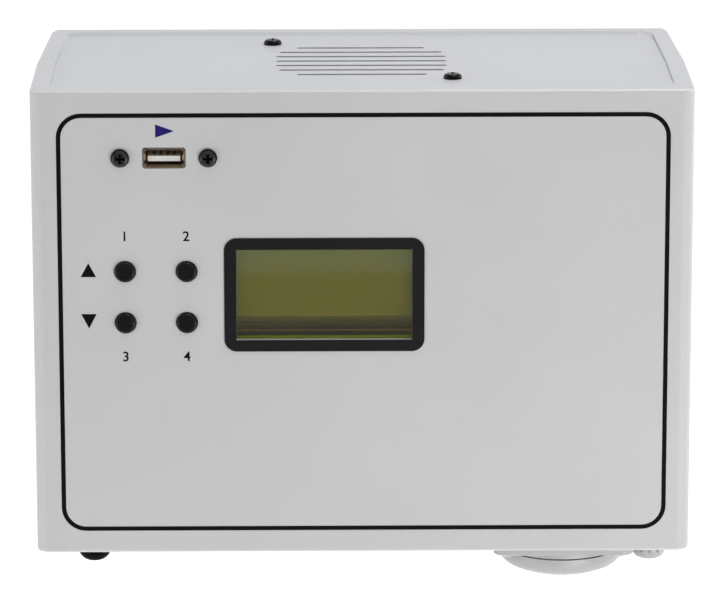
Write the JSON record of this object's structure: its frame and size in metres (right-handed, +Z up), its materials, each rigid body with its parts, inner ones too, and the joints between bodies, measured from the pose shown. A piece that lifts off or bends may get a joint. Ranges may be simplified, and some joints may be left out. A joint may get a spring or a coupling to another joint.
{
  "type": "azan clock",
  "caption": "Wall-hung prayer-call clock with a sunk display, push-buttons, a USB socket, a speaker behind top slots and a lidded mains outlet underneath.",
  "frame": {"origin": "on the wall plane, midway between the centres of the two keyholes' round entries", "axes": "+Z up, +Y into the wall, so the display faces -Y, +X to the right seen from the front"},
  "size_m": [0.227, 0.1168, 0.1807],
  "materials": {
    "case_plastic": "pale grey moulded case with a very fine grain",
    "black_trim": "black printed and moulded trim, half gloss",
    "black_button": "black moulded buttons with a smooth face",
    "clear_pane": "clear acrylic pane",
    "display_film": "dark olive liquid crystal glass, not lit",
    "light_guide": "yellow-green light guide",
    "black_screw": "blackened steel",
    "zinc_screw": "bright zinc-plated steel",
    "bright_metal": "nickel-plated steel",
    "brass": "plain brass",
    "gold_contacts": "gold-plated contacts",
    "white_plastic": "white moulded insulator",
    "outlet_plastic": "grey moulded outlet and lid, half gloss",
    "black_plastic": "black moulded plastic",
    "gland_plastic": "pale grey moulded gland",
    "circuit_board": "green lacquered circuit board",
    "speaker_steel": "black-painted pressed steel",
    "speaker_paper": "black pressed paper",
    "ferrite": "dark grey ferrite",
    "transformer_steel": "lacquered stacked steel plates",
    "copper_winding": "coils under yellow insulating tape",
    "aluminium": "plain extruded aluminium",
    "capacitor_sleeve": "dark blue shrink sleeve",
    "relay_case": "blue relay case",
    "terminal_green": "green terminal housing",
    "fuse_glass": "clear glass tube",
    "ribbon_grey": "grey flat cable"
  },
  "bodies": {
    "case": {"front_housing": "case_plastic", "rear_cover": "case_plastic", "rear_cover_screws": "black_screw", "display_bezel": "black_trim", "display_window": "clear_pane", "display_metal_frame": "black_screw", "display_glass": "display_film", "display_back_light": "light_guide", "display_board": "circuit_board", "board_screws": "zinc_screw", "key_switches": "black_plastic", "key_board": "circuit_board", "usb_shell": "bright_metal", "usb_tongue": "white_plastic", "usb_contacts": "gold_contacts", "usb_body": "black_plastic", "usb_screws": "black_screw", "speaker_frame": "speaker_steel", "speaker_cone": "speaker_paper", "speaker_edge_ring": "speaker_paper", "speaker_magnet": "ferrite", "speaker_back_plate": "zinc_screw", "speaker_screws": "black_screw", "speaker_nuts": "zinc_screw", "outlet_body": "outlet_plastic", "outlet_contacts": "brass", "outlet_earth_clips": "bright_metal", "outlet_screws": "zinc_screw", "outlet_hinge_pin": "bright_metal", "outlet_lid_spring": "bright_metal", "fuse_holder": "black_plastic", "fuse_holder_nut": "black_plastic", "gland_body": "gland_plastic", "gland_cap": "gland_plastic", "gland_lock_nut": "gland_plastic", "line_socket": "bright_metal", "line_socket_insulator": "black_plastic", "main_board": "circuit_board", "board_chips": "black_plastic", "relay": "relay_case", "terminal_block": "terminal_green", "capacitors": "capacitor_sleeve", "heat_sink": "aluminium", "coin_cell_holder": "black_plastic", "coin_cell": "bright_metal", "transformer_core": "transformer_steel", "transformer_winding": "copper_winding", "transformer_bracket": "zinc_screw", "transformer_screws": "zinc_screw", "display_ribbon": "ribbon_grey", "ribbon_plugs": "black_plastic"},
    "up_button": {"up_button": "black_button"},
    "down_button": {"down_button": "black_button"},
    "menu_button": {"menu_button": "black_button"},
    "ok_button": {"ok_button": "black_button"},
    "outlet_lid": {"outlet_lid": "outlet_plastic"},
    "fuse_cap": {"fuse_cap": "black_plastic", "fuse_glass": "fuse_glass", "fuse_ends": "bright_metal"}
  },
  "joints": [
    {"name": "up_button_press", "type": "slide", "parent": "case", "child": "up_button", "axis": [0, 1, 0], "range_m": [0, 0.0005], "stiffness_N_per_m": 1500, "springref_m": -0.0004},
    {"name": "down_button_press", "type": "slide", "parent": "case", "child": "down_button", "axis": [0, 1, 0], "range_m": [0, 0.0005], "stiffness_N_per_m": 1500, "springref_m": -0.0004},
    {"name": "menu_button_press", "type": "slide", "parent": "case", "child": "menu_button", "axis": [0, 1, 0], "range_m": [0, 0.0005], "stiffness_N_per_m": 1500, "springref_m": -0.0004},
    {"name": "ok_button_press", "type": "slide", "parent": "case", "child": "ok_button", "axis": [0, 1, 0], "range_m": [0, 0.0005], "stiffness_N_per_m": 1500, "springref_m": -0.0004},
    {"name": "outlet_lid_hinge", "type": "hinge", "parent": "case", "child": "outlet_lid", "pos_m": [0.0702, -0.0608, -0.1347], "axis": [1, 0, 0], "range_deg": [0, 105], "stiffness_Nm_per_rad": 0.01, "springref_deg": -45.84},
    {"name": "fuse_cap_turn", "type": "hinge", "parent": "case", "child": "fuse_cap", "pos_m": [-0.0946, -0.088, -0.134], "axis": [0, 0, 1], "range_deg": [0, 90]}
  ]
}
